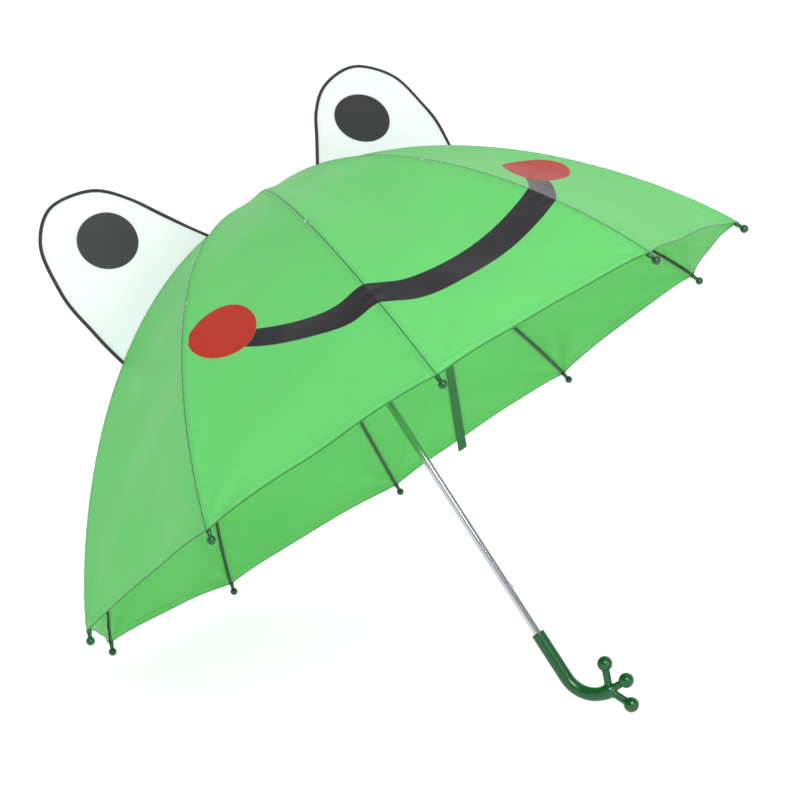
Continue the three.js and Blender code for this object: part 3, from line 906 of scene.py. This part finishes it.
def spline(points, count):
    """A smooth line through points, by Catmull-Rom pieces spaced by the root of chord length."""
    points = np.asarray(points, float)
    points = np.vstack([2 * points[0] - points[1], points, 2 * points[-1] - points[-2]])
    made = []
    for a, b, c, d in zip(points, points[1:], points[2:], points[3:]):
        chords = [math.dist(a, b), math.dist(b, c), math.dist(c, d)]
        k0, k1, k2, k3 = np.concatenate([[0], np.cumsum(np.sqrt(chords))])
        t = np.linspace(k1, k2, count, endpoint=False)[:, None]
        ab = between(t, k0, k1, a, b)
        bc = between(t, k1, k2, b, c)
        cd = between(t, k2, k3, c, d)
        left = between(t, k0, k2, ab, bc)
        right = between(t, k1, k3, bc, cd)
        made.append(between(t, k1, k2, left, right))
    return np.vstack([*made, points[-2]])


def resampled(line, count):
    """A line's points spaced evenly along it."""
    steps = np.concatenate([[0], np.cumsum(np.linalg.norm(np.diff(line, axis=0), axis=1))])
    places = np.linspace(0, steps[-1], count)
    return np.stack([np.interp(places, steps, column) for column in line.T], axis=-1)


def add_eye(name, rib, lean, back):
    """A wing of white cloth sewn into the seam over a rib, with a black piping round its edge."""
    azimuth = azimuth_of(rib)
    lift = CLOTH_LIFT + CLOTH_THICKNESS
    base_radii = np.linspace(EYE_INNER, EYE_OUTER, 61)
    base = np.stack(rib_point(base_radii, lift), axis=-1)
    inner, chord = base[0], base[-1] - base[0]
    length = np.linalg.norm(chord)
    along = chord / length
    up = np.array([-along[1], along[0]])
    middle = base[len(base) // 2]
    back_side = back * np.array([0.0, 1.0, 0.0])
    along_3d = np.array([along[0], 0, along[1]])
    upright = np.array([up[0], 0, up[1]])
    up_3d = math.cos(math.radians(lean)) * upright + math.sin(math.radians(lean)) * back_side
    off_3d = np.cross(along_3d, up_3d)
    centre = np.array([middle[0], 0, middle[1]])
    shift = (inner - middle) @ along, (inner - middle) @ up

    def place(flat, off=0.0):
        """Points of the wing: distance from the inner end, height over the chord, and off its plane."""
        flat = np.asarray(flat, float)
        off = np.broadcast_to(off, flat.shape[:-1])[..., None]
        reach = (flat[..., :1] + shift[0]) * along_3d + (flat[..., 1:] + shift[1]) * up_3d
        return turned(centre + reach + off * off_3d, azimuth)

    rows, count = 40, 97
    outline = spline([(share * length, rise * EYE_HEIGHT) for share, rise in EYE_OUTLINE], 16)
    rim = resampled(outline, count)
    seam = resampled(np.stack([(base - inner) @ along, (base - inner) @ up], axis=-1), count)
    depth = np.linspace(0, 1, rows)[:, None]
    flat = seam + (rim - seam) * depth[..., None]
    high = flat[..., 1] / EYE_HEIGHT
    bulge = EYE_BULGE * np.sin(math.pi * depth) * np.sin(math.pi * np.linspace(0, 1, count))
    ripple = 0.8 * depth**6 * np.sin(np.linspace(0, 34, count))
    ripple = ripple + 1.6 * np.sin(flat[..., 0] / 24 + 5 * high) * high
    off = -back * bulge + ripple * np.clip(depth * 6, 0, 1)
    front, rear = place(flat, off + EYE_THICKNESS / 2), place(flat, off - EYE_THICKNESS / 2)
    points = np.vstack([front.reshape(-1, 3), rear.reshape(-1, 3)])
    maps = {"eye_map": np.vstack([flat.reshape(-1, 2)] * 2)}
    wing = mesh_object(f"{name}_cloth", points, sheet_faces(rows, count), EYE_CLOTH, maps)
    outward(wing)
    sharpened(wing, 55)
    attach(wing, name)
    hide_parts(name)
    path, sizes = rounded(place(rim, off[-1]), PIPING_RADIUS)
    piping = tube(f"{name}_piping", path, sizes, PIPING, sides=12)
    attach(piping, name)


def add_strap():
    """The tie strap: a doubled tape under the cloth whose end hangs out below the hem."""
    rows, columns = 30, 9
    gore_width = 2 * HEM_RADIUS * math.sin(HALF_PITCH)
    across = np.linspace(-0.5, 0.5, columns)
    radii = np.linspace(STRAP_FROM, STRAP_TO, rows)
    layers = []
    for lift in (0.6, -0.3):
        grid = []
        for place in across:
            shares = np.linspace(*STRAP_SHARES, rows) + place * STRAP_WIDTH / gore_width
            points = gore_points(STRAP_RIB, shares, np.minimum(radii, HEM_RADIUS), lift)
            points[:, 2] -= STRAP_DROP * np.clip(radii - HEM_RADIUS, 0, None)
            grid.append(points)
        layers.append(np.stack(grid, axis=1).reshape(-1, 3))
    strap = mesh_object("strap_tape", np.vstack(layers), sheet_faces(rows, columns), STRAP_TAPE)
    outward(strap)
    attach(strap, f"rib_outer_{pad(STRAP_RIB)}")
    azimuth = azimuth_of(STRAP_RIB)
    x, z = rib_point(BEND_RADIUS, CLOTH_LIFT)
    anchor = to_row(turned([x, 0, z], azimuth))
    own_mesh(strap)
    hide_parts("tie_strap")
    grid = layers[0].reshape(rows, columns, 3)


# ---- cap, shaft and the pieces that stay CAD -------------------------------------------------------


def add_cap():
    """A low dome over the crown, with a turned-down edge."""
    dome = float(dome_height(0))
    foot = dome + 0.2
    profile = [
        (NEAR_AXIS, dome - 0.5),
        (CAP_RADIUS - 0.2, dome - 1.4),
        (CAP_RADIUS + 0.2, dome - 0.6),
    ]
    profile += [
        (CAP_RADIUS * math.cos(turn) ** 0.9, foot + CAP_RISE * math.sin(turn))
        for turn in np.linspace(0, math.pi / 2, 10)[:-1]
    ]
    profile.append((NEAR_AXIS, foot + CAP_RISE))
    cap = lathe("cap", profile, GREEN_PLASTIC, sides=64)
    sharpened(cap, 50)
    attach(cap, "shaft")
    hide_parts("top_cap")


def add_shaft():
    """The chromed tube, drawn without the slots its catches stand in; the tube's end sits in the grip.
    """
    top = float(dome_height(0)) - 3
    profile = [
        (SHAFT_RADIUS - SHAFT_WALL, SHAFT_BOTTOM),
        (SHAFT_RADIUS - SHAFT_WALL, top),
        (SHAFT_RADIUS - 0.3, top),
        (SHAFT_RADIUS, top - 0.3),
        (SHAFT_RADIUS, SHAFT_BOTTOM + 0.3),
        (SHAFT_RADIUS - 0.3, SHAFT_BOTTOM),
    ]
    tube_body = lathe("chrome_shaft", profile, CHROME, sides=64)
    sharpened(tube_body, 40)
    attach(tube_body, "shaft")
    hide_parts("shaft_tube")


def dress_nodes():
    """Finishes for the pieces that keep their CAD shape."""
    finishes = {
        "crown": WHITE_PLASTIC,
        "runner": WHITE_PLASTIC,
        "top_catch": STEEL,
        "bottom_catch": STEEL,
    }
    for node, material in finishes.items():
        mesh = frame["nodes"][node].data
        mesh.materials.clear()
        mesh.materials.append(material)


# ---- handle ----------------------------------------------------------------------------------------


def add_handle():
    """A moulded grip that bends into a palm with three round toes, blended into one skin."""
    turns = np.linspace(0, math.pi / 2, 24)
    straight = [(0, 0, z) for z in np.linspace(GRIP_TOP - 1, HOOK_START, 12)[:-1]]
    hook = [
        (HOOK_RADIUS * (1 - math.cos(turn)), 0, HOOK_START - HOOK_RADIUS * math.sin(turn))
        for turn in turns
    ]
    path = np.array(straight + hook)
    sizes = np.full(len(path), GRIP_RADIUS)
    sizes[-6:] = np.linspace(GRIP_RADIUS, PALM_RADIUS, 6)
    body = tube("frog_handle", path, sizes, GREEN_PLASTIC, sides=32)
    palm = np.array([HOOK_RADIUS, 0, HOOK_START - HOOK_RADIUS])
    parts = []
    for angle, length in TOES:
        way = np.array([math.cos(math.radians(angle)), 0, math.sin(math.radians(angle))])
        stem = [palm + way * reach for reach in np.linspace(0, length, 8)]
        parts.append(tube("stem", stem, np.full(8, TOE_STEM_RADIUS), GREEN_PLASTIC, sides=20))
        ball = [palm + way * (length + reach) for reach in (-0.01, 0.01)]
        ball_path, ball_sizes = rounded(ball, TOE_RADIUS, rings=10)
        parts.append(tube("toe", ball_path, ball_sizes, GREEN_PLASTIC, sides=28))
    middle = [palm - [0.01, 0, 0], palm + [0.01, 0, 0]]
    palm_path, palm_sizes = rounded(middle, PALM_RADIUS, rings=10)
    parts.append(tube("palm", palm_path, palm_sizes, GREEN_PLASTIC, sides=28))
    joined(body, *parts)
    remesh = body.modifiers.new("skin", "REMESH")
    remesh.mode = "VOXEL"
    remesh.voxel_size = 0.55 * MM
    baked(body)
    soften = body.modifiers.new("soften", "SMOOTH")
    soften.factor = 0.5
    soften.iterations = 14
    baked(body)
    body.data.polygons.foreach_set("use_smooth", [True] * len(body.data.polygons))
    body.data.materials.clear()
    body.data.materials.append(GREEN_PLASTIC)
    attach(body, "shaft")
    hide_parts("handle")


# ---- everything ------------------------------------------------------------------------------------

add_canopy()
for rib_number in range(1, RIBS + 1):
    add_rib(rib_number)
    add_stretcher(rib_number)
for eye_name, eye_values in EYES.items():
    add_eye(eye_name, **eye_values)
add_strap()
add_cap()
add_shaft()
dress_nodes()
add_handle()

# ---- floor, light and camera -----------------------------------------------------------------------

FLOOR_WHITE = srgb(250, 250, 251)
FLOOR_GREY = srgb(158, 158, 159)
FLOOR_GLOW = 0.85
CAMERA_PLACE = Vector((0.8835, -1.7293, 0.6803))
CAMERA_AIM = Vector((-0.4456, 0.8700, -0.2113))
CAMERA_ROLL = math.radians(0.53)
CAMERA_LENS = 97.54
VIEW_TURN = math.atan2(-CAMERA_AIM.x, CAMERA_AIM.y)

# Place, target, diameter in metres and power in watts.
LIGHTS = {
    "key": ((1.5, -2.1, 2.3), (0, 0, 0.25), 1.4, 64),
    "fill": ((2.6, -1.0, 0.9), (0, 0, 0.2), 1.4, 18),
}
WORLD_STRENGTH = 0.44
FLAG_PLACES = ((1.4, 0.6, 0.5), (-0.2, -1.3, 0.2))


def add_floor():
    """A pale floor that curves up into a wall far behind, turned to face the camera."""
    depth, rise, bend, width = 6.0, 20.0, 3.0, 50.0
    turns = np.linspace(0, math.pi / 2, 24)
    profile = [(-25.0, 0.0), (depth, 0.0)]
    profile += [(depth + bend * math.sin(turn), bend - bend * math.cos(turn)) for turn in turns[1:]]
    profile.append((depth + bend, rise))
    points = [(x, y, z) for y, z in profile for x in (-width / 2, width / 2)]
    faces = [(2 * i, 2 * i + 1, 2 * i + 3, 2 * i + 2) for i in range(len(profile) - 1)]
    mesh = bpy.data.meshes.new("floor")
    mesh.from_pydata(points, [], faces)
    mesh.polygons.foreach_set("use_smooth", [True] * len(mesh.polygons))
    floor = bpy.data.objects.new("floor", mesh)
    floor.rotation_euler.z = VIEW_TURN
    bpy.context.scene.collection.objects.link(floor)
    shader = Shader("floor", Roughness=0.6)
    shader.surface.inputs["Base Color"].default_value = FLOOR_GREY
    shader.surface.inputs["Emission Color"].default_value = FLOOR_WHITE
    shader.surface.inputs["Emission Strength"].default_value = FLOOR_GLOW
    mesh.materials.append(shader.material)


def add_area(name, place, target, size, power):
    """A round soft light aimed at a point."""
    light = bpy.data.lights.new(name, "AREA")
    light.shape = "DISK"
    light.size = size
    light.energy = power
    lamp = bpy.data.objects.new(name, light)
    lamp.location = place
    aim = Vector(target) - Vector(place)
    lamp.rotation_euler = aim.to_track_quat("-Z", "Y").to_euler()
    bpy.context.scene.collection.objects.link(lamp)


def add_flag(place):
    """A black card that shows only in mirrored light, for the dark lines in bright metal."""
    half_width, height = 0.12, 1.2
    aim = Vector((0, 0, 0)) - Vector((place[0], place[1], 0))
    side = aim.normalized().cross(Vector((0, 0, 1))) * half_width
    lift = Vector((0, 0, height))
    middle = Vector(place)
    corners = [middle - side, middle + side, middle + side + lift, middle - side + lift]
    mesh = bpy.data.meshes.new("flag")
    mesh.from_pydata(corners, [], [(0, 1, 2, 3)])
    shader = Shader("flag", Roughness=1.0)
    shader.surface.inputs["Base Color"].default_value = (0.004, 0.004, 0.004, 1)
    mesh.materials.append(shader.material)
    flag = bpy.data.objects.new("flag", mesh)
    bpy.context.scene.collection.objects.link(flag)
    for ray in ("camera", "diffuse", "shadow", "transmission"):
        setattr(flag, f"visible_{ray}", False)


def add_camera():
    """The photograph's angle, with its slight roll."""
    data = bpy.data.cameras.new("camera")
    data.lens = CAMERA_LENS
    data.sensor_width = 36
    data.clip_end = 100
    camera = bpy.data.objects.new("camera", data)
    camera.location = CAMERA_PLACE
    level = CAMERA_AIM.to_track_quat("-Z", "Y")
    camera.rotation_mode = "QUATERNION"
    camera.rotation_quaternion = level @ Quaternion((0, 0, 1), CAMERA_ROLL)
    bpy.context.scene.collection.objects.link(camera)
    bpy.context.scene.camera = camera


def add_world(strength):
    """An even white sky."""
    world = bpy.data.worlds.new("world")
    world.use_nodes = True
    background = world.node_tree.nodes["Background"]
    background.inputs[0].default_value = (1, 1, 1, 1)
    background.inputs[1].default_value = strength
    bpy.context.scene.world = world


add_floor()
for light_name, light_values in LIGHTS.items():
    add_area(light_name, *light_values)
add_world(WORLD_STRENGTH)
for flag_place in FLAG_PLACES:
    add_flag(flag_place)
add_camera()
bpy.context.scene.view_settings.view_transform = "Standard"
